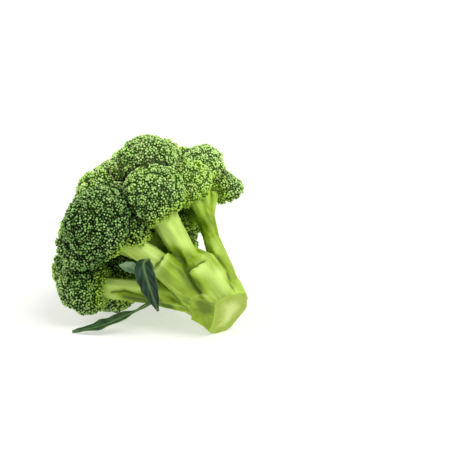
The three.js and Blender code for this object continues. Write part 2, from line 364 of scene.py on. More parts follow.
class Shader:
    """A material, built a node at a time."""

    # Where most of the noise lies.
    MIDDLE = (0.3, 0.7)

    def __init__(self, name: str) -> None:
        """Starts a material that holds only its principled surface.

        Args:
            name: the material's name.
        """
        self.material = bpy.data.materials.new(name)
        self.material.use_nodes = True
        self.tree = self.material.node_tree
        self.surface = self.tree.nodes["Principled BSDF"]

    def add(self, kind: str, inputs: dict | None = None, **settings: object) -> bpy.types.Node:
        """Adds a node.

        Args:
            kind: the node's type.
            inputs: a number, a colour or another node's output for some of its sockets.
            **settings: properties of the node.

        Returns:
            The node.
        """
        node = self.tree.nodes.new(kind)
        for name, value in settings.items():
            setattr(node, name, value)
        for name, value in (inputs or {}).items():
            self.feed(node.inputs[name], value)
        return node

    def feed(self, socket: Socket, value: object) -> None:
        """Links an output to a socket, or sets the socket.

        Args:
            socket: the input to feed.
            value: an output, a number or a colour.
        """
        if isinstance(value, Socket):
            self.tree.links.new(value, socket)
        elif isinstance(value, tuple) and len(value) == 3 and socket.type == "RGBA":
            socket.default_value = (*value, 1.0)
        else:
            socket.default_value = value

    def mark(self, label: str) -> Socket:
        """The numbers that a mesh carries under a label."""
        return self.add("ShaderNodeAttribute", attribute_name=label).outputs["Fac"]

    def noise(self, size: float, detail: float = 3.0) -> Socket:
        """Soft random patches from 0 to 1.

        Args:
            size: how far apart they are, in metres.
            detail: how many finer layers they have.

        Returns:
            The output.
        """
        place = self.add("ShaderNodeTexCoord").outputs["Object"]
        inputs = {"Vector": place, "Scale": 1 / size, "Detail": detail}
        return self.add("ShaderNodeTexNoise", inputs).outputs["Fac"]

    def patches(self, size: float, low: float = 0, high: float = 1, detail: float = 3.0) -> Socket:
        """Soft random patches that range from `low` to `high`."""
        return self.between(self.noise(size, detail), *self.MIDDLE, low, high)

    def maths(self, operation: str, first: object, second: object) -> Socket:
        """One step of arithmetic.

        Args:
            operation: what it does.
            first: the value that it starts from.
            second: the value that it applies.

        Returns:
            The result, held between 0 and 1.
        """
        node = self.add("ShaderNodeMath", operation=operation, use_clamp=True)
        self.feed(node.inputs[0], first)
        self.feed(node.inputs[1], second)
        return node.outputs[0]

    def between(self, value: object, low: float, high: float, start: float = 0,
                end: float = 1) -> Socket:
        """A value's range from `low` to `high`, turned into one from `start` to `end`."""
        inputs = {"Value": value, "From Min": low, "From Max": high, "To Min": start, "To Max": end}
        return self.add("ShaderNodeMapRange", inputs, interpolation_type="SMOOTHSTEP").outputs["Result"]

    def ramp(self, value: object, stops: Stops) -> Socket:
        """A colour for each value.

        Args:
            value: the value, from 0 to 1.
            stops: the colours that it passes through, each with its place from 0 to 1.

        Returns:
            The colour.
        """
        node = self.add("ShaderNodeValToRGB", {"Fac": value})
        elements = node.color_ramp.elements
        while len(elements) < len(stops):
            elements.new(0.5)
        for element, (place, colour) in zip(elements, stops):
            element.position = place
            element.color = (*colour, 1)
        return node.outputs["Color"]

    def blend(self, share: object, first: object, second: object, how: str = "MIX") -> Socket:
        """Two colours mixed.

        Args:
            share: 0 where the first one shows, 1 where the second one does.
            first: the first colour.
            second: the second colour.
            how: the way that they mix.

        Returns:
            The mixture.
        """
        node = self.add("ShaderNodeMix", data_type="RGBA", blend_type=how)
        self.feed(node.inputs[0], share)
        self.feed(node.inputs[6], first)
        self.feed(node.inputs[7], second)
        return node.outputs[2]

    def relief(self, height: object, deep: float, strength: float,
               over: Socket | None = None) -> Socket:
        """A fine relief that only the light sees.

        Args:
            height: the height, from 0 to 1.
            deep: how deep the whole range is, in metres.
            strength: how much of it shows.
            over: the relief below it.

        Returns:
            The normal.
        """
        node = self.add("ShaderNodeBump", {"Height": height, "Distance": deep, "Strength": strength})
        if over is not None:
            self.feed(node.inputs["Normal"], over)
        return node.outputs["Normal"]

    def finish(self, **inputs: object) -> Material:
        """Ends the material.

        Args:
            **inputs: what feeds the principled surface's sockets, named with _ for a space.

        Returns:
            The material.
        """
        for name, value in inputs.items():
            self.feed(self.surface.inputs[name.replace("_", " ")], value)
        return self.material


@dataclass(frozen=True)
class BudFinish:
    """Flower buds: painted shade where they crowd, pale tips partly a painted highlight, yellower by
    the stalk.
    """

    # The first colour is painted shade: the near-black among crowded buds and in furrows.
    gap_shade: Colour = srgb(12, 24, 6)
    flank: Colour = srgb(40, 76, 22)
    cheek: Colour = srgb(80, 126, 50)
    tip: Colour = srgb(146, 186, 106)
    pale_gap: Colour = srgb(76, 112, 36)
    pale_flank: Colour = srgb(166, 216, 96)
    pale_cheek: Colour = srgb(204, 248, 134)
    pale_tip: Colour = srgb(234, 255, 184)
    young: Colour = srgb(184, 222, 64)
    bluish: Colour = srgb(60, 104, 84)

    def material(self) -> Material:
        """Builds the material.

        Returns:
            The material.
        """
        shader = Shader("buds")
        rise = shader.mark("tip")
        tone = shader.mark("tone")
        # Each bud is painted dark at its base as shade and pale at its tip, partly its own waxy green
        # and partly a painted highlight.
        lit = shader.maths("ADD", rise, shader.between(tone, 0, 1, -0.26, 0.24))
        greens = (self.gap_shade, self.flank, self.cheek, self.tip)
        pales = (self.pale_gap, self.pale_flank, self.pale_cheek, self.pale_tip)
        green = shader.ramp(lit, list(zip((0.08, 0.34, 0.62, 0.95), greens)))
        pale = shader.ramp(lit, list(zip((0.0, 0.2, 0.5, 0.9), pales)))
        # The pale mark is each floret's set level plus painted light: paler higher up and at the far
        # rim.
        pale_and_lit = shader.mark("pale")
        green = shader.blend(pale_and_lit, green, pale)
        patch = shader.between(shader.noise(0.022), 0.42, 0.66, 0, 0.4)
        green = shader.blend(patch, green, self.bluish, "SOFT_LIGHT")
        sunny = shader.between(shader.noise(0.03), 0.45, 0.62, 0, 0.55)
        sunny = shader.maths("MULTIPLY", pale_and_lit, sunny)
        green = shader.blend(sunny, green, self.young, "SOFT_LIGHT")
        fresh = shader.maths("MULTIPLY", shader.mark("young"), shader.between(rise, 0.1, 0.8, 0.35, 1))
        green = shader.blend(fresh, green, self.young)
        # Painted shade: the furrow mark darkens buds between mounds, in valleys and next to other
        # florets.
        deep = shader.between(shader.mark("furrow"), 0, 1.3, 0, 0.82)
        green = shader.blend(deep, green, self.gap_shade)
        rough = shader.patches(0.0012, 0.42, 0.62, 2)
        normal = shader.relief(shader.noise(0.0006, 2), 0.0002, 0.35)
        return shader.finish(Base_Color=green, Roughness=rough, Normal=normal, Specular_IOR_Level=0.16)


@dataclass(frozen=True)
class CoreFinish:
    """What shows between the buds: their short stems, painted near-black as shade, lightened with the
    buds' pale mark, and green by the stalk.
    """

    # The first two colours are painted shade, the deep shade among the crowded buds.
    dark: Colour = srgb(12, 22, 6)
    light: Colour = srgb(30, 48, 14)
    pale: Colour = srgb(76, 112, 36)
    stem: Colour = srgb(128, 160, 56)

    def material(self) -> Material:
        """Builds the material.

        Returns:
            The material.
        """
        shader = Shader("bud_stems")
        patch = shader.patches(0.002, 0, 0.4)
        green = shader.blend(patch, self.dark, self.light)
        # The pale mark brings the buds' painted light onto the core too.
        green = shader.blend(shader.mark("pale"), green, self.pale)
        green = shader.blend(shader.mark("bare"), green, self.stem)
        rough = shader.patches(0.004, 0.6, 0.8)
        normal = shader.relief(shader.noise(0.0012, 3), 0.0006, 0.6)
        return shader.finish(Base_Color=green, Roughness=rough, Normal=normal, Specular_IOR_Level=0.08)


@dataclass(frozen=True)
class StalkFinish:
    """The stalk's waxy skin with its lengthwise streaks, pale torn ledges, painted light and shade, and
    its wet cut end.
    """

    pale: Colour = srgb(182, 212, 84)
    green: Colour = srgb(146, 178, 38)
    olive: Colour = srgb(100, 128, 6)
    # The next colour is painted shade for creases and grooves.
    deep: Colour = srgb(66, 90, 4)
    # The next colour is painted highlight, with the skin's own pale patches.
    wan_and_highlight: Colour = srgb(206, 234, 124)
    torn: Colour = srgb(206, 226, 146)
    rim: Colour = srgb(150, 190, 24)
    flesh: Colour = srgb(170, 190, 74)
    ring: Colour = srgb(158, 182, 58)
    pith: Colour = srgb(210, 226, 134)
    scoop_rim: Colour = srgb(156, 186, 50)
    scoop: Colour = srgb(102, 126, 16)
    scatter: Colour = (1.0, 1.0, 0.3)

    def material(self) -> Material:
        """Builds the material.

        Returns:
            The material.
        """
        shader = Shader("stalk_skin")
        fibre = shader.mark("fibre")
        skin = shader.ramp(fibre, [(0.2, self.olive), (0.5, self.green), (0.85, self.pale)])
        patch = shader.between(shader.noise(0.016), 0.35, 0.7, 0, 0.7)
        skin = shader.blend(patch, skin, self.green)
        # The paler and olive marks are mostly painted highlights and painted shade, partly the skin's
        # own pale and olive tone.
        skin = shader.blend(shader.mark("paler"), skin, self.wan_and_highlight)
        skin = shader.blend(shader.mark("olive"), skin, self.olive)
        # Painted shade: the crease mark darkens hollows and grooves.
        skin = shader.blend(shader.between(shader.mark("crease"), 0, 1, 0, 0.8), skin, self.deep)
        skin = shader.blend(shader.between(shader.mark("edge"), 0.15, 1, 0, 0.85), skin, self.torn)
        # Painted shade: the scoop is darker deeper inside and at its shaded patch.
        inward = shader.maths("ADD", shader.mark("hollow"), shader.patches(0.006, -0.2, 0.2))
        scooped = shader.ramp(inward, [(0.0, self.scoop_rim), (0.75, self.scoop)])
        skin = shader.blend(shader.mark("sliced"), skin, scooped)
        wavy = shader.maths("ADD", shader.mark("pith"), shader.patches(0.004, -0.08, 0.08))
        inner = (self.rim, self.flesh, self.ring, self.flesh, self.pith)
        flesh = shader.ramp(wavy, list(zip((0.0, 0.2, 0.32, 0.48, 0.85), inner)))
        skin = shader.blend(shader.mark("cut"), skin, flesh)
        rough = shader.between(fibre, 0, 1, 0.5, 0.36)
        streaks = shader.relief(fibre, 0.0008, 0.5)
        normal = shader.relief(shader.noise(0.0015, 4), 0.0003, 0.3, streaks)
        return shader.finish(Base_Color=skin, Roughness=rough, Normal=normal, Specular_IOR_Level=0.22,
                             Subsurface_Weight=0.2, Subsurface_Radius=self.scatter,
                             Subsurface_Scale=0.003)


@dataclass(frozen=True)
class LeafFinish:
    """A leaf: waxy blue-green, with a pale midrib and veins, and a painted sheen towards its base."""

    label: str
    dark: Colour
    light: Colour
    vein: Colour
    rough: float = 0.4

    def material(self) -> Material:
        """Builds the material.

        Returns:
            The material.
        """
        shader = Shader(self.label)
        blade = shader.blend(shader.patches(0.006), self.dark, self.light)
        # Painted sheen: the bloom mark lightens the blade towards its base.
        blade = shader.blend(shader.mark("bloom"), blade, self.light)
        blade = shader.blend(shader.mark("vein"), blade, self.vein)
        rough = shader.patches(0.003, self.rough, self.rough + 0.15)
        normal = shader.relief(shader.mark("vein"), 0.0004, 0.5)
        normal = shader.relief(shader.noise(0.0008, 3), 0.0001, 0.4, normal)
        return shader.finish(Base_Color=blade, Roughness=rough, Normal=normal, Specular_IOR_Level=0.22,
                             Subsurface_Weight=0.1, Subsurface_Scale=0.001)


@dataclass(frozen=True)
class FloorFinish:
    """A plain pale light table."""

    pale: Colour = srgb(190, 191, 186)
    glow: Colour = srgb(255, 255, 250)
    glow_strength: float = 0.55

    def material(self) -> Material:
        """Builds the material.

        Returns:
            The material.
        """
        shader = Shader("floor")
        shade = shader.patches(0.4, 0.7, 0.8, 2)
        return shader.finish(Base_Color=self.pale, Roughness=shade, Specular_IOR_Level=0.1,
                             Emission_Color=self.glow, Emission_Strength=self.glow_strength)


# ---- the head as it grew


def in_head(azimuth: float, reach: float, height: float) -> Array:
    """A place in the head's own frame, in millimetres: how far round, out from and up the stem."""
    side = math.radians(azimuth)
    return np.array([reach * math.cos(side), reach * math.sin(side), height])


@dataclass(frozen=True)
class Growth:
    """How the head lies: its stem's cut end is the origin of its own frame and the stem grows up +Z."""

    cut_middle: Point = (52.56, -52.55, 16.4)
    rise: float = 30.0
    heading: float = 44.0

    def turn(self) -> Array:
        """The rotation that lays the head down.

        Returns:
            Its matrix.
        """
        up, round_it = math.radians(90 - self.rise), math.radians(-self.heading)
        tip = np.array([[math.cos(up), 0, -math.sin(up)], [0, 1, 0], [math.sin(up), 0, math.cos(up)]])
        swing = np.array([[math.cos(round_it), -math.sin(round_it), 0],
                          [math.sin(round_it), math.cos(round_it), 0], [0, 0, 1]])
        return swing @ tip

    def standing(self, points: Array) -> Array:
        """Places as the head's own frame has them, in millimetres."""
        return (points / MM - np.array(self.cut_middle)) @ self.turn()

    def lying(self, azimuth: float, reach: float, height: float) -> Array:
        """Where a place in the head's own frame is in the scene."""
        return (self.turn() @ in_head(azimuth, reach, height) + np.array(self.cut_middle)) * MM


@dataclass(frozen=True)
class Scoop:
    """The hollow beside the cut end, where a leaf was sliced off, as a round bar would leave it."""

    azimuth: float = -103.0
    reach: float = 8.0
    lean: float = 26.0
    radius: float = 60.0
    top: float = 16.5

    def depth(self, places: Array) -> Array:
        """How far the skin is from the bar.

        Args:
            places: places in the head's own frame.

        Returns:
            How far each is outside the bar, in millimetres.
        """
        lean, side = math.radians(self.lean), math.radians(self.azimuth)
        outward = np.array([math.cos(side), math.sin(side), 0])
        way = outward * math.sin(lean) + np.array([0, 0, math.cos(lean)])
        start = outward * (self.reach + self.radius / math.cos(lean))
        return np.linalg.norm(np.cross(places - start, way), axis=1) - self.radius


@dataclass(frozen=True)
class Tint:
    """A patch on the stalk, in the head's own frame, painted paler, or more olive below 0; mostly
    painted light and shade.
    """

    azimuth: float
    reach: float
    height: float
    wide: float
    paler: float

    def share(self, places: Array) -> Array:
        """How much places in the head's own frame take of it."""
        middle = in_head(self.azimuth, self.reach, self.height)
        return self.paler * np.exp(-((np.linalg.norm(places - middle, axis=1) / self.wide) ** 2))


@dataclass(frozen=True)
class Groove:
    """A crease or a torn notch in the stalk, along places in the head's own frame, painted darker along
    it.
    """

    places: tuple[Point, ...]
    wide: float
    deep: float = 0.0

    def away(self, places: Array) -> Array:
        """How far the skin is from its line.

        Args:
            places: places in the head's own frame.

        Returns:
            How far each is, in millimetres.
        """
        knots = [in_head(*place) for place in self.places]
        far = np.full(len(places), np.inf)
        for start, end in zip(knots, knots[1:]):
            run = end - start
            along = np.clip((places - start) @ run / (run @ run), 0, 1)
            far = np.minimum(far, np.linalg.norm(places - start - along[:, None] * run, axis=1))
        return far

    def share(self, places: Array, wider: float = 1.0) -> Array:
        """How much places in the head's own frame are in it, or near it if it is taken as wider."""
        return np.exp(-((self.away(places) / (wider * self.wide)) ** 2))


class Lattice:
    """Soft random values through space, from 0 to 1."""

    def __init__(self, low: Array, high: Array, cell: float, random: Random) -> None:
        """Fills a space with random values.

        Args:
            low: its lowest corner.
            high: its highest corner.
            cell: how far apart the values are.
            random: where they come from.
        """
        self.low = low
        self.cell = cell
        self.table = random.random(tuple(np.ceil((high - low) / cell).astype(int) + 2))

    def at(self, points: Array) -> Array:
        """The values at some points.

        Args:
            points: the points.

        Returns:
            A value for each.
        """
        place = np.clip((points - self.low) / self.cell, 0, np.array(self.table.shape) - 1.001)
        base = place.astype(int)
        share = place - base
        share = share * share * (3 - 2 * share)
        total = np.zeros(len(points))
        for corner in np.ndindex(2, 2, 2):
            weight = np.prod(np.where(corner, share, 1 - share), axis=1)
            total += weight * self.table[tuple((base + corner).T)]
        return total


# ---- florets


class BudStage(Enum):
    """How far a floret's buds have grown: their mean width, in millimetres."""

    RIPE = 1.48
    FULL = 1.46
    FINE = 1.34


@dataclass(frozen=True)
class Sprig:
    """A small dome of a floret that fills the cleft between its neighbours, in the head's own frame."""

    azimuth: float
    reach: float
    height: float
    radius: float


@dataclass
class Floret:
    """A bloom: a core with the form of its solid, covered in buds that gather in small mounds."""

    node: str
    stage: BudStage = BudStage.FULL
    pale: float = 0.3
    fresh: float = 0.0
    sprigs: tuple[Sprig, ...] = ()
    growth: Growth = Growth()
    seed: int = 0
    core_voxel: float = 1.5 * MM
    core_rounds: int = 7
    mound: float = 6.4 * MM
    mound_rise: float = 0.9 * MM
    mound_wide: float = 0.62
    furrow_deep: float = 1.0 * MM
    furrow_wide: float = 0.24
    reach: float = 1.6 * MM
    tries: int = 8
    crowding: float = 0.86
    touch: float = 0.3 * MM
    back: float = 0.5 * MM
    lean: float = 0.9
    stray: float = 0.2
    uneven: float = 0.15
    slimmer: float = 0.15
    tall: float = 1.05
    taller: float = 0.12
    jolt: float = 0.2 * MM
    spotted: float = 0.3
    pale_stray: float = 0.18
    # How much paler buds are painted higher up and at the far rim, as lit from above and from the side.
    painted_light_high: float = 0.42
    painted_light_far: float = 0.45
    sink: float = 0.45 * MM
    random: Random = field(init=False)

    # A bud of width 1: its rings' half-widths, their heights, and how near its tip each one is.
    RINGS = ((0.38, -0.45, 0.0), (0.55, 0.0, 0.45), (0.42, 0.34, 0.86))
    TIP = (0.54, 1.0)
    SIDES = 5
    # Limits of how hollow the core is, in the open and at the bottom of a valley.
    VALLEY = (-0.022, 0.022)
    # Limits of the distance to another solid, in the open and next to it.
    NEXT_TO = (6 * MM, 0.5 * MM)
    # How dark the painted shade in a valley is against a furrow, and how much of that young buds keep
    # away.
    VALLEY_SHADE, YOUNG_LIGHT = 1.3, 0.8
    # Limits of the distance to the stalk, for grown buds and for young ones, and how young those are.
    YOUNG = (15 * MM, 2 * MM)
    YOUNGEST = 0.9
    # Limits of the height over which buds are painted paler as if lit from above, and of the far rim,
    # painted paler as if lit from the side.
    HIGH = (78 * MM, 122 * MM)
    FAR = (-52 * MM, -68 * MM)

    def build(self, around: BVHTree, stalk: BVHTree, finishes: list[Material]) -> Object:
        """Builds the floret.

        Args:
            around: all the other solids, which hide some of its skin.
            stalk: the stalk's skin.
            finishes: the core's material and the buds'.

        Returns:
            The floret.
        """
        self.random = np.random.default_rng(self.seed)
        core = remeshed(self.solid(), self.core_voxel).evened(self.core_rounds)
        points, normals = self.scatter(core, around)
        seeds = points[spaced(points, self.mound)]
        valley = self.valley(core, points, around)
        buds, marks = self.buds(points, normals, seeds, self.nearness(points, stalk), valley)
        core, bare = self.sunk(core, seeds, stalk)
        empty = np.zeros(len(core.points))
        marks = {label: np.concatenate([empty, values]) for label, values in marks.items()}
        marks["bare"] = np.concatenate([bare, np.zeros(len(buds.points))])
        marks["pale"][:len(core.points)] = self.paleness_and_light(core.points)
        return new_object(self.node + "_buds", [core, buds], marks, finishes)

    def solid(self) -> Mesh:
        """The floret's solid, joined by its sprigs.

        Returns:
            The mesh of both.
        """
        work = bmesh.new()
        work.from_mesh(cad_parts[self.node].data)
        for sprig in self.sprigs:
            middle = self.growth.lying(sprig.azimuth, sprig.reach, sprig.height)
            bmesh.ops.create_icosphere(work, subdivisions=3, radius=sprig.radius * MM,
                                       matrix=Matrix.Translation(Vector(middle)))
        joined = bpy.data.meshes.new(self.node + "_joined")
        work.to_mesh(joined)
        work.free()
        return joined

    def scatter(self, core: Surface, around: BVHTree) -> tuple[Array, Array]:
        """Spreads places for buds over the skin that shows.

        Args:
            core: the floret's skin.
            around: all the other solids.

        Returns:
            The places and the outward directions there.
        """
        width = self.stage.value * MM
        corners = core.triangles()
        a, b, c = (core.points[corners[:, k]] for k in range(3))
        area = np.linalg.norm(np.cross(b - a, c - a), axis=1) / 2
        count = int(area.sum() / width**2 * self.tries)
        chosen = self.random.choice(len(area), count, p=area / area.sum())
        along, across = self.random.random((2, count, 1))
        over = along + across > 1
        along, across = np.where(over, 1 - along, along), np.where(over, 1 - across, across)
        points = a[chosen] + along * (b - a)[chosen] + across * (c - a)[chosen]
        normals = core.normals()[corners[chosen, 0]]
        kept = spaced(points, width * self.crowding)
        points, normals = points[kept], normals[kept]
        shown = [self.shows(*pair, around) for pair in zip(map(Vector, points), map(Vector, normals))]
        return points[shown], normals[shown]

    def shows(self, point: Vector, outward: Vector, around: BVHTree) -> bool:
        """Whether a bud would show.

        Args:
            point: its place.
            outward: the way that it points.
            around: all the other solids.

        Returns:
            True if it is outside them, with room above it.
        """
        place, normal, _, _ = around.find_nearest(point)
        if (point - place).dot(normal) <= -self.touch:
            return False
        return around.ray_cast(point - outward * self.back, outward, self.reach)[0] is None

    def nearness(self, points: Array, others: BVHTree) -> Array:
        """How far each point is from other surfaces."""
        return np.array([others.find_nearest(point)[3] for point in map(Vector, points)])

    def valley(self, core: Surface, points: Array, around: BVHTree) -> Array:
        """How much each point is in a valley between two domes, or next to another floret.

        Args:
            core: the floret's skin.
            points: places on it.
            around: all the other solids.

        Returns:
            0 out in the open, 1 at the bottom of a valley.
        """
        bend = core.spread(core.bend(self.core_voxel), 9)
        tree = kd_tree(core.points)
        valley = smoothstep(*self.VALLEY, bend[[tree.find(point)[1] for point in points.tolist()]])
        return np.maximum(valley, smoothstep(*self.NEXT_TO, self.nearness(points, around)))

    def mounds(self, points: Array, seeds: Array) -> tuple[Array, Array, Array]:
        """How the buds' small mounds shape the skin.

        Args:
            points: places on the skin.
            seeds: the mounds' middles.

        Returns:
            For each place, its way from the mound's middle, how much it is in a furrow, and its rise.
        """
        first, near, second = two_nearest(points, seeds)
        furrow = np.exp(-(((second - near) / (self.furrow_wide * self.mound)) ** 2))
        rise = self.mound_rise * (1 - (near / (self.mound_wide * self.mound)) ** 2)
        return (points - seeds[first]) / self.mound, furrow, rise - self.furrow_deep * furrow

    def buds(self, points: Array, normals: Array, seeds: Array, nearness: Array,
             valley: Array) -> tuple[Surface, Marks]:
        """Makes the buds.

        Args:
            points: where they stand.
            normals: which way they point.
            seeds: the middles of their mounds.
            nearness: how far each is from the stalk.
            valley: how much each is in a valley.

        Returns:
            The buds as one surface, and its marks.
        """
        outward, furrow, rise = self.mounds(points, seeds)
        count = len(points)
        up = unit(normals + self.lean * outward + self.stray * self.random.normal(size=(count, 3)))
        side = unit(np.cross(up, self.random.normal(size=(count, 3))))
        across = np.cross(up, side)
        size = 1 + self.uneven * self.random.normal(size=count).clip(-2, 2)
        width = self.stage.value * MM * size * (1 - self.slimmer * furrow)
        tall = width * (self.tall + self.taller * self.random.random(count))
        middle = points + normals * (rise + self.jolt * self.random.normal(size=count))[:, None]
        layers = []
        tips = []
        for index, (radius, height, tip) in enumerate(self.RINGS):
            turn = (np.arange(self.SIDES) + index / 2) * math.tau / self.SIDES
            ring = np.cos(turn)[:, None] * side[:, None] + np.sin(turn)[:, None] * across[:, None]
            base = middle + up * (height * tall)[:, None]
            layers.append(base[:, None] + ring * (radius * width)[:, None, None])
            tips.append(np.full((count, self.SIDES), tip))
        layers.append((middle + up * (self.TIP[0] * tall)[:, None])[:, None])
        tips.append(np.full((count, 1), self.TIP[1]))
        grid = np.concatenate(layers, axis=1)
        per_bud = grid.shape[1]
        faces = (np.arange(count)[:, None, None] * per_bud + self.bud_faces()[None]).reshape(-1, 3)
        young = np.clip(smoothstep(*self.YOUNG, nearness) * self.YOUNGEST + self.fresh, 0, 1)
        young *= 1 - self.spotted + self.spotted * self.random.random(count)
        pale = self.paleness_and_light(points) + self.pale_stray * self.random.normal(size=count)
        # Painted shade for buds in valleys and next to other florets, carried with the furrows in the
        # furrow mark.
        shade = self.VALLEY_SHADE * valley * (1 - self.YOUNG_LIGHT * young)
        marks = {"tone": self.random.random(count), "young": young, "pale": np.clip(pale, 0, 1),
                 "furrow": np.maximum(furrow, shade)}
        marks = {label: np.repeat(values, per_bud) for label, values in marks.items()}
        marks["tip"] = np.concatenate(tips, axis=1).ravel()
        return Surface(grid.reshape(-1, 3), faces), marks

    def paleness_and_light(self, points: Array) -> Array:
        """How pale the buds are: each floret's set level, plus painted light from above and towards the
        far rim.

        Args:
            points: their places.

        Returns:
            0 for dark green, 1 for the palest.
        """
        higher = self.painted_light_high * smoothstep(*self.HIGH, points[:, 2])
        outer = self.painted_light_far * smoothstep(*self.FAR, points[:, 0])
        return np.clip(self.pale + higher + outer, 0, 1)

    def bud_faces(self) -> Array:
        """The triangles of one bud: its rings from the base up, and its tip.

        Returns:
            Their corners' numbers, a row for each.
        """
        sides = self.SIDES
        faces = []
        for ring in range(len(self.RINGS) - 1):
            low, high = ring * sides, (ring + 1) * sides
            for k in range(sides):
                after = (k + 1) % sides
                faces.append((low + k, low + after, high + k))
                faces.append((low + after, high + after, high + k))
        top = len(self.RINGS) * sides
        faces += [(top - sides + k, top - sides + (k + 1) % sides, top) for k in range(sides)]
        return np.array(faces, np.int32)

    def sunk(self, core: Surface, seeds: Array, stalk: BVHTree) -> tuple[Surface, Array]:
        """Sinks the core under its buds, and marks where it nears the stalk.

        Args:
            core: the floret's skin.
            seeds: the middles of the mounds.
            stalk: the stalk's skin.

        Returns:
            The sunk core, and its bareness at each point.
        """
        _, _, rise = self.mounds(core.points, seeds)
        points = core.points + core.normals() * (rise - self.sink)[:, None]
        bare = smoothstep(*self.NEXT_TO, self.nearness(points, stalk))
        return Surface(points, core.faces), bare


FLORETS = (
    Floret("floret_front", BudStage.RIPE, pale=0.03),
    Floret("floret_front_low", BudStage.RIPE, pale=0.2),
    Floret("floret_front_left", BudStage.FULL, pale=0.5),
    Floret("floret_top", BudStage.FULL, pale=0.22, fresh=0.05),
    Floret("floret_top_left", BudStage.FULL, pale=0.45),
    Floret("floret_top_front", BudStage.FULL, pale=0.9, fresh=0.12),
    Floret("floret_right", BudStage.FINE, pale=0.95, fresh=0.45),
    Floret("floret_right_back", BudStage.FINE, pale=0.85, fresh=0.02),
    Floret("floret_right_low", BudStage.FULL, pale=0.6),
    Floret("floret_back_right", BudStage.FULL, pale=0.3),
    Floret("floret_back", BudStage.FULL, pale=0.2),
    Floret("floret_back_low", BudStage.RIPE, pale=0.2),
    Floret("floret_under", BudStage.RIPE, pale=0.3),
    Floret("floret_under_top", BudStage.RIPE, pale=0.25),
    Floret("floret_crown_front", BudStage.FULL, pale=0.45, sprigs=(Sprig(-107, 29.5, 120, 9),)),
    Floret("floret_crown_top", BudStage.FULL, pale=0.5,
           sprigs=(Sprig(178, 28, 121, 8), Sprig(25, 30, 122, 9), Sprig(-135, 13, 124, 8))),
    Floret("floret_crown_right", BudStage.FULL, pale=0.45,
           sprigs=(Sprig(66, 40, 111, 10), Sprig(45, 36, 115, 10), Sprig(104, 29.5, 120, 9))),
    Floret("floret_crown_back", BudStage.RIPE, pale=0.25,
           sprigs=(Sprig(133, 44.5, 112, 10), Sprig(145, 43.5, 113, 8))),
    Floret("floret_crown_under", BudStage.RIPE, pale=0.25,
           sprigs=(Sprig(-150, 43.5, 113, 10), Sprig(-166, 45, 111, 8), Sprig(-131, 36, 112, 8))),
)


# ---- stalk

# Mostly painted highlights on lit crests and painted shade under branches, partly the stalk's own pale
# torn tissue and olive tone.
TINTS = (
    Tint(-29, 36, 58, 13, 0.5),
    Tint(-20, 28, 46, 6, 0.6),
    Tint(-37, 24, 46, 5, -0.8),
    Tint(-31, 27, 24.5, 6.5, 0.8),
    Tint(-46, 22.5, 20, 5, -0.9),
    Tint(-41, 22, 15, 5, -0.3),
    Tint(-51, 27.5, 38, 6, -0.6),
    Tint(-69, 28.6, 50, 6, 1.0),
    Tint(-61, 33, 62, 7, 0.6),
    Tint(-64, 23, 24, 6, -0.5),
    Tint(41, 34, 58, 12, -1.0),
    Tint(-2, 21, 16, 7, 0.9),
    Tint(-4, 19, 6, 6, 0.5),
    Tint(-120, 39, 60, 17, 0.9),
    Tint(-126, 43, 56, 4, -1.0),
    Tint(-127, 38, 50, 4, -1.0),
    Tint(-127, 33, 44, 4, -1.0),
    Tint(-128, 25, 31, 4, -0.9),
)

# Creases and torn notches, each painted darker along its line and round it; the last is mostly a band
# of painted shade under the lower branch.
GROOVES = (
    Groove(((-37, 24, 43), (-38, 21.5, 38), (-48, 24, 27.6), (-54, 20.8, 18.6), (-54, 19.5, 14)),
           1.3, 1.5),
    Groove(((-36, 24, 29), (-31, 25, 28.5)), 1.6, 1.8),
    Groove(((30, 24, 33), (22, 22.5, 20), (18, 21, 11)), 1.0, 0.7),
    Groove(((-124, 47.1, 64.3), (-121, 40.3, 57.9), (-121, 34, 47.5), (-119, 27, 35.4)), 0.9, 0.7),
    Groove(((-126, 42.3, 56), (-127, 38, 50.3), (-127, 33.7, 44.6), (-128, 24, 29)), 2.0, 0.8),
)

# The lip round the hollow beside the cut end.
LIP = Groove(((-47, 19.3, 8.3), (-57, 19.4, 13.1), (-70, 19.5, 16), (-91, 17.4, 17.6), (-107, 16.6, 17),
              (-122, 16.6, 17.5), (-133, 17.2, 15)), 1.0)


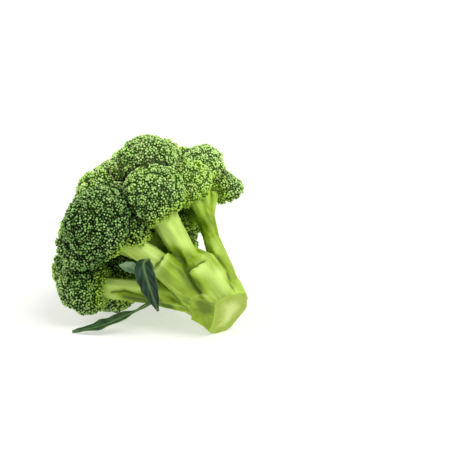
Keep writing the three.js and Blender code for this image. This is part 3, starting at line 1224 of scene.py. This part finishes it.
@dataclass
class Stalk:
    """The trunk and its branches: a skin with fillets, lengthwise ribs, ledges and a crisp cut end."""

    voxel: float = 0.8 * MM
    rounds: int = 6
    overhang: float = 4 * MM
    rib_deep: float = 0.5 * MM
    stride: float = 1.3 * MM
    strides: int = 9
    fine_grain: float = 0.9 * MM
    broad_grain: float = 3.2 * MM
    scoop: Scoop = Scoop()
    scoop_deep: float = 0.9 * MM
    # Painted shade in the scoop: a dark patch, and darker towards its middle.
    scoop_shade: Tint = Tint(-72, 14.5, 6, 8, 0.8)
    scoop_dark: float = 0.3
    lip_pale: float = 0.8
    lip_whole: float = 0.3
    tear: float = 2.0 * MM
    tear_long: float = 3.0 * MM
    # Painted shade in broad hollows and painted highlights on broad bulges.
    form_shading: float = 0.3
    # Painted shade round the grooves, over a span the halo times their width.
    groove_shade: float = 0.7
    halo: float = 3.0
    fine_share: float = 0.6
    contrast: float = 0.2
    growth: Growth = Growth()
    seed: int = 7

    # Points this near the cut end's plane are on it.
    CUT_SKIN = 0.05 * MM
    # Limits of how far the skin bulges at a sharp edge, and how hollow it is in a crease.
    EDGE = (0.03, 0.16)
    CREASE = (0.01, 0.07)
    # Limits, in millimetres and degrees, of the distance from the bar and of the scoop's side.
    ON_BAR = (0.9, 0.4)
    SCOOP_SIDE = (-35, -45)

    def cut_face(self, mesh: Mesh) -> tuple[Array, float]:
        """Finds the flat face at the stem's end.

        Args:
            mesh: the stalk's solid.

        Returns:
            The face's normal, and its offset along that.
        """
        down = -self.growth.turn()[:, 2]
        facing = [face for face in mesh.polygons if np.array(face.normal) @ down > 0.99]
        face = max(facing, key=lambda face: np.array(face.center) @ down)
        normal = np.array(face.normal)
        return normal, float(normal @ np.array(mesh.vertices[face.vertices[0]].co))

    def build(self, finish: Material) -> Surface:
        """Builds the stalk.

        Args:
            finish: its material.

        Returns:
            Its skin, for the florets that sit on it.
        """
        random = np.random.default_rng(self.seed)
        skin, cut = self.skin()
        uncut = 1 - cut
        normals = skin.normals()
        bend = skin.bend(self.voxel)
        edge = smoothstep(*self.EDGE, skin.spread(-bend, 1)) * uncut
        # Painted shade in hollows and along the grooves, carried by the crease mark.
        crease = smoothstep(*self.CREASE, skin.spread(bend, 10))
        broad = skin.spread(bend * uncut, 70)
        skin.points = skin.points + self.ragged(skin, edge, random)
        places = self.growth.standing(skin.points)
        sliced = self.sliced(places) * uncut
        fibre = self.fibre(skin, cut, random)
        lift = self.rib_deep * (skin.spread(fibre, 2) - 0.5) * uncut * (1 - sliced)
        lift -= self.scoop_deep * skin.spread(sliced, 30) * sliced
        for groove in GROOVES:
            share = groove.share(places) * uncut
            lift -= groove.deep * MM * share
            crease = np.maximum(crease, share)
        skin.points = skin.points + normals * lift[:, None]
        streaky = self.lip_whole + (1 - self.lip_whole) * fibre
        lip = self.lip_pale * LIP.share(places) * uncut * streaky
        # Painted light and shade: the tint is paler on lit crests and bulges, more olive in shade.
        tint = self.tint(places, broad / broad.std())
        # The hollow mark is painted shade, darker deeper in the scoop.
        marks = {
            "fibre": fibre, "cut": cut, "edge": np.maximum(edge, lip), "crease": crease,
            "sliced": skin.spread(sliced, 2), "pith": self.inside(skin, cut),
            "hollow": self.scoop_dark * self.inside(skin, sliced) + self.scoop_shade.share(places),
            "paler": np.clip(tint, 0, 1), "olive": np.clip(-tint, 0, 1),
        }
        piece = new_object("stalk_skin", [skin], marks, [finish])
        dress(piece, STALK_NODE)
        return skin

    def skin(self) -> tuple[Surface, Array]:
        """Rounds the solid, all but its cut end.

        Returns:
            The skin, and 1 for each of its points on the cut end, 0 for the others.
        """
        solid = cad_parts[STALK_NODE].data
        way, offset = self.cut_face(solid)
        skin = remeshed(self.lengthened(solid, way, offset), self.voxel).evened(self.rounds)
        beyond = skin.points @ way - offset
        points = skin.points - np.maximum(beyond, 0)[:, None] * way
        return Surface(points, skin.faces), (beyond > -self.CUT_SKIN).astype(float)

    def sliced(self, places: Array) -> Array:
        """Where the large leaf was sliced off.

        Args:
            places: the skin's points in the head's own frame.

        Returns:
            1 on the slice, 0 elsewhere.
        """
        azimuth = np.degrees(np.arctan2(places[:, 1], places[:, 0]))
        on_bar = smoothstep(*self.ON_BAR, np.abs(self.scoop.depth(places)))
        return on_bar * (places[:, 2] < self.scoop.top) * smoothstep(*self.SCOOP_SIDE, azimuth)

    def tint(self, places: Array, broad: Array) -> Array:
        """How the skin's colour departs from its streaks, mostly through painted light and shade.

        Args:
            places: the skin's points in the head's own frame.
            broad: how hollow the skin is, seen broadly.

        Returns:
            Above 0 where it is painted paler, below 0 where it is painted more olive.
        """
        tint = sum(tint.share(places) for tint in TINTS)
        tint -= self.groove_shade * sum(groove.share(places, self.halo) for groove in GROOVES)
        return tint + self.form_shading * np.clip(-broad, -2, 2)

    def lengthened(self, solid: Mesh, way: Array, offset: float) -> Mesh:
        """Draws the solid out past its cut end, so that rounding leaves the cut crisp.

        Args:
            solid: the stalk's solid.
            way: the cut end's normal.
            offset: the cut end's offset along it.

        Returns:
            The longer mesh.
        """
        work = bmesh.new()
        work.from_mesh(solid)
        bmesh.ops.remove_doubles(work, verts=work.verts, dist=0.001 * MM)
        on_cut = [
            face for face in work.faces
            if np.array(face.normal) @ way > 0.999
            and abs(way @ np.array(face.verts[0].co) - offset) < self.CUT_SKIN
        ]
        drawn = bmesh.ops.extrude_face_region(work, geom=on_cut)
        moved = [item for item in drawn["geom"] if isinstance(item, bmesh.types.BMVert)]
        bmesh.ops.translate(work, verts=moved, vec=Vector(way * self.overhang))
        bmesh.ops.delete(work, geom=on_cut, context="FACES")
        longer = bpy.data.meshes.new("longer_stalk")
        work.to_mesh(longer)
        work.free()
        return longer

    def distance(self, skin: Surface, from_these: Array) -> Array:
        """The way over the skin to each point.

        Args:
            skin: the skin.
            from_these: True for the points that the ways start from.

        Returns:
            How long each point's shortest way is.
        """
        start, end = skin.sides()
        order = np.argsort(start, kind="stable")
        start, end = start[order], end[order]
        long = np.linalg.norm(skin.points[start] - skin.points[end], axis=1)
        first = np.searchsorted(start, np.arange(len(skin.points) + 1)).tolist()
        end, long = end.tolist(), long.tolist()
        far = [math.inf] * len(skin.points)
        queue = [(0.0, int(index)) for index in np.flatnonzero(from_these)]
        for _, index in queue:
            far[index] = 0.0
        heapq.heapify(queue)
        while queue:
            here, index = heapq.heappop(queue)
            if here > far[index]:
                continue
            for k in range(first[index], first[index + 1]):
                there = here + long[k]
                if there < far[end[k]]:
                    far[end[k]] = there
                    heapq.heappush(queue, (there, end[k]))
        result = np.array(far)
        result[~np.isfinite(result)] = result[np.isfinite(result)].max()
        return result

    def fibre(self, skin: Surface, cut: Array, random: Random) -> Array:
        """Streaks that run from the cut end up along every branch.

        Args:
            skin: the skin.
            cut: 1 for its points on the cut end.
            random: where the streaks come from.

        Returns:
            A value from 0 to 1 for each point.
        """
        rise = skin.spread(self.distance(skin, cut > 0.5), 12)
        start, end = skin.sides()
        step = skin.points[end] - skin.points[start]
        climb = (rise[end] - rise[start]) / np.maximum((step**2).sum(1), 1e-12)
        way = np.stack([np.bincount(start, climb * step[:, k], len(rise)) for k in range(3)], axis=1)
        way = unit(skin.spread(unit(way), 4))
        tree = kd_tree(skin.points)
        low, high = skin.points.min(0), skin.points.max(0)
        grains = [Lattice(low, high, size, random) for size in (self.fine_grain, self.broad_grain)]
        total = np.zeros(len(rise))
        for turn in (-1, 1):
            place = skin.points.copy()
            for _ in range(self.strides):
                near = [tree.find(point)[1] for point in place.tolist()]
                place = place + turn * self.stride * way[near]
                total += self.fine_share * grains[0].at(place) + grains[1].at(place)
        total = (total - total.mean()) / total.std()
        return np.clip(0.5 + self.contrast * total, 0, 1)

    def inside(self, skin: Surface, share: Array) -> Array:
        """How deep inside a patch each of its points is: 0 at its rim, 1 in its middle."""
        deep = self.distance(skin, share < 0.5) * (share > 0.5)
        return deep / max(deep.max(), 1e-9)

    def ragged(self, skin: Surface, edge: Array, random: Random) -> Array:
        """Moves that tear the ledges' lips, up and down the stem.

        Args:
            skin: the skin.
            edge: 1 for its points on a sharp edge.
            random: where the moves come from.

        Returns:
            A move for each point.
        """
        grain = Lattice(skin.points.min(0), skin.points.max(0), self.tear, random)
        along = (grain.at(skin.points) - 0.5) * np.clip(3 * skin.spread(edge, 5), 0, 1)
        return self.tear_long * along[:, None] * self.growth.turn()[:, 2]


# ---- leaves


@dataclass
class Leaf:
    """A leaf: a thin arched blade with a raised midrib, side veins and a scalloped edge."""

    node: str
    path: list[Point]
    facing: Point
    width: float
    stalk: float
    widest: float
    finish: LeafFinish
    fold: float = 0.25
    wave: float = 0.5
    thick: float = 0.55
    rib: float = 0.8
    rib_wide: float = 0.8
    veins: int = 6
    vein_slant: float = 0.3
    vein_rise: float = 0.06
    taper: float = 0.75
    # A pale rim on both edges: painted light, as of light through the thin edge.
    edge_light: float = 0.4
    # How much lighter the painted sheen makes the base end.
    bloom: float = 0.5
    scallop: float = 0.06
    scallops: float = 40.0
    ripples: float = 23.0
    steps: int = 120
    columns: int = 16

    # Shares of the length between which the painted sheen fades: none at the first, full at the second.
    SHEEN_FADE = (0.75, 0.1)

    def middle_line(self) -> tuple[Array, Array]:
        """Runs a smooth curve through the path.

        Returns:
            The midrib's points at even steps, and the way that it runs at each.
        """
        knots = np.array(self.path)
        ends = np.concatenate([[2 * knots[0] - knots[1]], knots, [2 * knots[-1] - knots[-2]]])
        fine = []
        for k in range(len(knots) - 1):
            a, b, c, d = ends[k:k + 4]
            for t in np.linspace(0, 1, 40, endpoint=False):
                fine.append(0.5 * (2 * b + (c - a) * t + (2 * a - 5 * b + 4 * c - d) * t**2
                                   + (3 * b - a - 3 * c + d) * t**3))
        fine = np.array([*fine, knots[-1]])
        run = np.concatenate([[0], np.cumsum(np.linalg.norm(np.diff(fine, axis=0), axis=1))])
        even = np.linspace(0, run[-1], self.steps + 1)
        line = np.stack([np.interp(even, run, fine[:, k]) for k in range(3)], axis=1)
        return line, unit(np.gradient(line, axis=0))

    def half_width(self, along: Array) -> Array:
        """How far the edge is from the midrib.

        Args:
            along: shares of the leaf's length.

        Returns:
            The width to one side at each, in millimetres.
        """
        blade = np.clip((along - self.stalk) / (1 - self.stalk), 0, 1)
        bend = math.log(0.5) / math.log((self.widest - self.stalk) / (1 - self.stalk))
        swell = np.maximum(0, np.sin(math.pi * blade**bend)) ** 0.8
        scallops = 1 + self.scallop * np.sin(along * self.scallops)
        return np.maximum(1.3 - 0.5 * along, self.width / 2 * swell * scallops)

    def build(self) -> None:
        """Builds the leaf where its solid is, and dresses it."""
        line, way = self.middle_line()
        along = np.linspace(0, 1, self.steps + 1)[:, None]
        across = unit(np.cross(np.array(self.facing, float), way))
        normal = np.cross(way, across)
        side = np.linspace(-1, 1, self.columns + 1)[None]
        offset = side * self.half_width(along)
        rib = np.exp(-((offset / self.rib_wide) ** 2)) * (1 - self.taper * along)
        branch = np.sin((along - self.vein_slant * np.abs(side)) * self.veins * math.pi) ** 8
        vein = np.clip(rib * 0.9 + 0.12 * branch * smoothstep(0, 0.25, np.abs(side)), 0, 1)
        ripple = np.sin(along * self.ripples + side * 1.5)
        lift = self.fold * np.abs(offset) + self.wave * side**2 * ripple - self.vein_rise * branch
        sheets = []
        for level in (self.thick / 2 + 0.1 * rib, -self.thick / 2 - self.rib * rib):
            out = offset[..., None] * across[:, None] + (lift + level)[..., None] * normal[:, None]
            sheets.append((line[:, None] + out).reshape(-1, 3))
        surface = Surface(np.concatenate(sheets) * MM, self.grid_faces())
        low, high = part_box(self.node)
        middle = (surface.points.min(0) + surface.points.max(0)) / 2
        surface.points += (np.array(low) + np.array(high)) / 2 - middle
        # Painted light: a pale rim along both edges, through the vein mark.
        vein = np.maximum(vein, self.edge_light * smoothstep(0.9, 1, np.abs(side)))
        bloom = np.broadcast_to(self.bloom * smoothstep(*self.SHEEN_FADE, along), vein.shape)
        marks = {"vein": np.tile(vein.ravel(), 2), "bloom": np.tile(bloom.ravel(), 2)}
        piece = new_object(self.node + "_blade", [surface], marks, [self.finish.material()])
        dress(piece, self.node)

    def grid_faces(self) -> Array:
        """The faces of both sides of the blade and of the rim that joins them.

        Returns:
            Their corners' numbers, a row for each.
        """
        number = np.arange(2 * (self.steps + 1) * (self.columns + 1))
        sheets = number.reshape(2, self.steps + 1, self.columns + 1)
        upper, lower = (
            np.stack([a[:-1, :-1], a[1:, :-1], a[1:, 1:], a[:-1, 1:]], axis=-1).reshape(-1, 4)
            for a in sheets
        )
        top, bottom = (
            np.concatenate([a[:-1, 0], a[-1, :-1], a[:0:-1, -1], a[0, :0:-1]]) for a in sheets
        )
        rim = np.stack([top, bottom, np.roll(bottom, -1), np.roll(top, -1)], axis=1)
        return np.concatenate([upper, lower[:, [0, 3, 2, 1]], rim])


LEAVES = (
    Leaf("leaf_front",
         [(-51, 13, 52.5), (-53.4, 1, 52.3), (-52, -5, 46.5), (-49, -8, 38), (-43.8, -10, 22.5)],
         (-0.25, -1, 0.35), 13.5, 0.12, 0.46,
         LeafFinish("dark_leaf", srgb(6, 28, 22), srgb(28, 60, 40), srgb(124, 158, 98)), fold=0.3),
    Leaf("leaf_low",
         [(-44, 17, 22), (-53, 13.5, 18.5), (-64.5, 10.5, 13.2), (-82, 9, 6.2), (-100.5, 9, 2.6)],
         (0.1, -0.2, 1), 12, 0.2, 0.6,
         LeafFinish("low_leaf", srgb(22, 48, 30), srgb(60, 92, 54), srgb(128, 158, 96), 0.5)),
    Leaf("leaf_inner", [(-49, 17, 30), (-54.5, 18.5, 37), (-61.5, 20, 41), (-70.3, 21.5, 42.3)],
         (0, -1, 0.4), 7.5, 0.3, 0.7,
         LeafFinish("pale_leaf", srgb(110, 150, 110), srgb(176, 206, 168), srgb(200, 220, 180), 0.5),
         wave=0.3),
)


# ---- studio


@dataclass
class Studio:
    """A pale floor, soft lights and the camera."""

    camera_place: Point = (54.6, -901.0, 288.7)
    camera_down: float = 14.0
    sensor: float = 36.0
    lens: float = 104.8
    floor_half: float = 8.0
    sky_strength: float = 0.45

    # Each light's name, the way to it, its strength, and how wide it looks.
    LAMPS = (("key", (0.5, -0.4, 1.0), 2.2, 35), ("side", (-1.0, 0.1, 0.7), 1.0, 50))

    def build(self) -> None:
        """Builds the floor, the lights, the sky and the camera."""
        self.floor()
        for lamp in self.LAMPS:
            self.light(*lamp)
        world = bpy.data.worlds.new("sky")
        bpy.context.scene.world = world
        world.use_nodes = True
        sky = world.node_tree.nodes["Background"]
        sky.inputs["Color"].default_value = (1.0, 1.0, 1.0, 1)
        sky.inputs["Strength"].default_value = self.sky_strength
        self.camera()
        bpy.context.scene.view_settings.view_transform = "Standard"

    def floor(self) -> None:
        """Lays the floor."""
        half = self.floor_half
        corners = [(-half, -half, 0), (half, -half, 0), (half, half, 0), (-half, half, 0)]
        mesh = bpy.data.meshes.new("floor")
        mesh.from_pydata(corners, [], [(0, 1, 2, 3)])
        mesh.materials.append(FloorFinish().material())
        floor = linked("floor", mesh)

    def light(self, name: str, place: Point, strength: float, spread: float) -> None:
        """Hangs a soft light that is so large and far away that it falls alike everywhere.

        Args:
            name: its name.
            place: the way to it from the head.
            strength: how strong it is, in watts for each square metre.
            spread: how wide it looks from the head, in degrees.
        """
        data = bpy.data.lights.new(name, "SUN")
        data.energy = strength
        data.angle = math.radians(spread)
        linked(name, data).rotation_euler = Vector(place).to_track_quat("Z", "Y").to_euler()

    def camera(self) -> None:
        """Sets the camera up."""
        data = bpy.data.cameras.new("camera")
        data.sensor_width = self.sensor
        data.lens = self.lens
        camera = linked("camera", data)
        camera.location = Vector(self.camera_place) * MM
        camera.rotation_euler = (math.radians(90 - self.camera_down), 0, 0)
        bpy.context.scene.camera = camera


# ---- the head


def main() -> None:
    """Builds the stalk, the florets, the leaves and the studio, in that order."""
    logging.basicConfig(level=logging.INFO, format="%(message)s")
    skin = Stalk().build(StalkFinish().material())
    stalk = skin.tree()
    solids = {name: Surface.of(solid.data) for name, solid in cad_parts.items()}
    finishes = [CoreFinish().material(), BudFinish().material()]
    for seed, floret in enumerate(FLORETS):
        floret.seed = seed
        others = [solid for name, solid in solids.items() if name != floret.node]
        offsets = np.cumsum([0] + [len(solid.points) for solid in others])
        points = np.concatenate([solid.points for solid in others])
        faces = np.concatenate([solid.faces + offset for solid, offset in zip(others, offsets)])
        piece = floret.build(Surface(points, faces).tree(), stalk, finishes)
        dress(piece, floret.node)
    for leaf in LEAVES:
        leaf.build()
    Studio().build()


if __name__ == "__main__":
    main()
